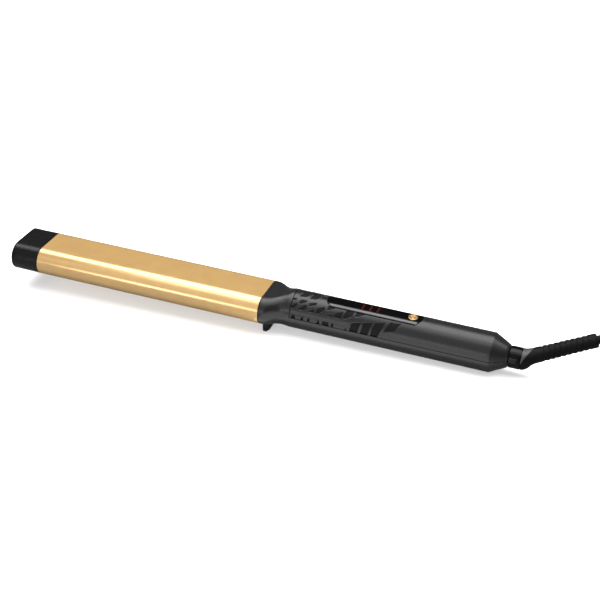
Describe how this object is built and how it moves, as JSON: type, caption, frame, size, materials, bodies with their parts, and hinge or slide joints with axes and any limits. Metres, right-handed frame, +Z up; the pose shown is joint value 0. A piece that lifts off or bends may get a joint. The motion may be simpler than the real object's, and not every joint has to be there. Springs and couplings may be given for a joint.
{
  "type": "curling iron",
  "caption": "Clampless curling wand with an oval gold barrel, cool tip, round grip handle with a control panel, and a mains cord on a swivelling angled outlet.",
  "frame": {"origin": "on the surface that the wand lies on, under the middle of its rigid length", "axes": "+X along the wand towards the cord, +Y away from the near side, +Z up; the wand lies pitched 1.69 degrees, tip end raised on its rest foot"},
  "size_m": [0.5789, 0.052, 0.0322],
  "materials": {
    "barrel_gold": "satin gold coating on aluminium",
    "tip_black": "fine matte, heat resistant",
    "shell_grey": "fine matte grain",
    "panel_black": "piano gloss",
    "trim_silver": "satin plating",
    "indicator_red": "translucent red, unlit",
    "button_gold": "satin gold",
    "swivel_black": "semi-gloss",
    "elbow_grey": "semi-gloss",
    "cord_rubber": "matte",
    "plug_plastic": "matte",
    "pin_metal": "nickel plated",
    "steel": "bright",
    "brass_contact": "bright",
    "aluminium": "extruded",
    "ceramic": "alumina ceramic",
    "board_green": "solder mask",
    "component": "moulded epoxy",
    "insulator": "phenolic",
    "wire_sleeve": "silicone sleeve"
  },
  "bodies": {
    "wand": {"cool_tip": "tip_black", "barrel": "barrel_gold", "heat_spreader_upper": "aluminium", "heat_spreader_lower": "aluminium", "ceramic_heater_upper": "ceramic", "ceramic_heater_lower": "ceramic", "spring_clip": "steel", "thermistor": "ceramic", "thermal_fuse": "aluminium", "tie_rod_near": "steel", "tie_rod_far": "steel", "barrel_insulator": "insulator", "heater_lead_live": "wire_sleeve", "heater_lead_neutral": "wire_sleeve", "handle_body": "shell_grey", "handle_cover": "shell_grey", "control_panel": "panel_black", "panel_trim_near": "trim_silver", "panel_trim_far": "trim_silver", "indicator_low": "indicator_red", "indicator_mid": "indicator_red", "indicator_high": "indicator_red", "led_low": "ceramic", "led_mid": "ceramic", "led_high": "ceramic", "tact_switch": "steel", "pcb": "board_green", "film_capacitor": "component", "triac": "component", "controller_chip": "component", "case_screw_front": "steel", "case_screw_rear": "steel", "contact_block": "insulator", "contact_spring_live": "brass_contact", "contact_spring_neutral": "brass_contact", "supply_lead_live": "wire_sleeve", "supply_lead_neutral": "wire_sleeve", "power_cord": "cord_rubber", "cord_hank": "cord_rubber", "hank_tie": "plug_plastic", "plug_lead": "cord_rubber", "plug_body": "plug_plastic", "plug_pin_live": "pin_metal", "plug_pin_neutral": "pin_metal"},
    "button": {"power_button": "button_gold", "switch_plunger": "component"},
    "swivel": {"swivel_collar": "swivel_black", "slip_ring_live": "brass_contact", "slip_ring_neutral": "brass_contact", "swivel_elbow": "elbow_grey", "strain_relief": "cord_rubber"}
  },
  "joints": [
    {"name": "button_press", "type": "slide", "parent": "wand", "child": "button", "axis": [-0.0295, 0, -0.9996], "range_m": [0, 0.0005], "stiffness_N_per_m": 1500, "springref_m": -0.0005},
    {"name": "cord_swivel", "type": "hinge", "parent": "wand", "child": "swivel", "pos_m": [0.1699, 0, 0.01216], "axis": [0.9996, 0, -0.0295], "continuous": true, "deforming": ["power_cord"]}
  ]
}
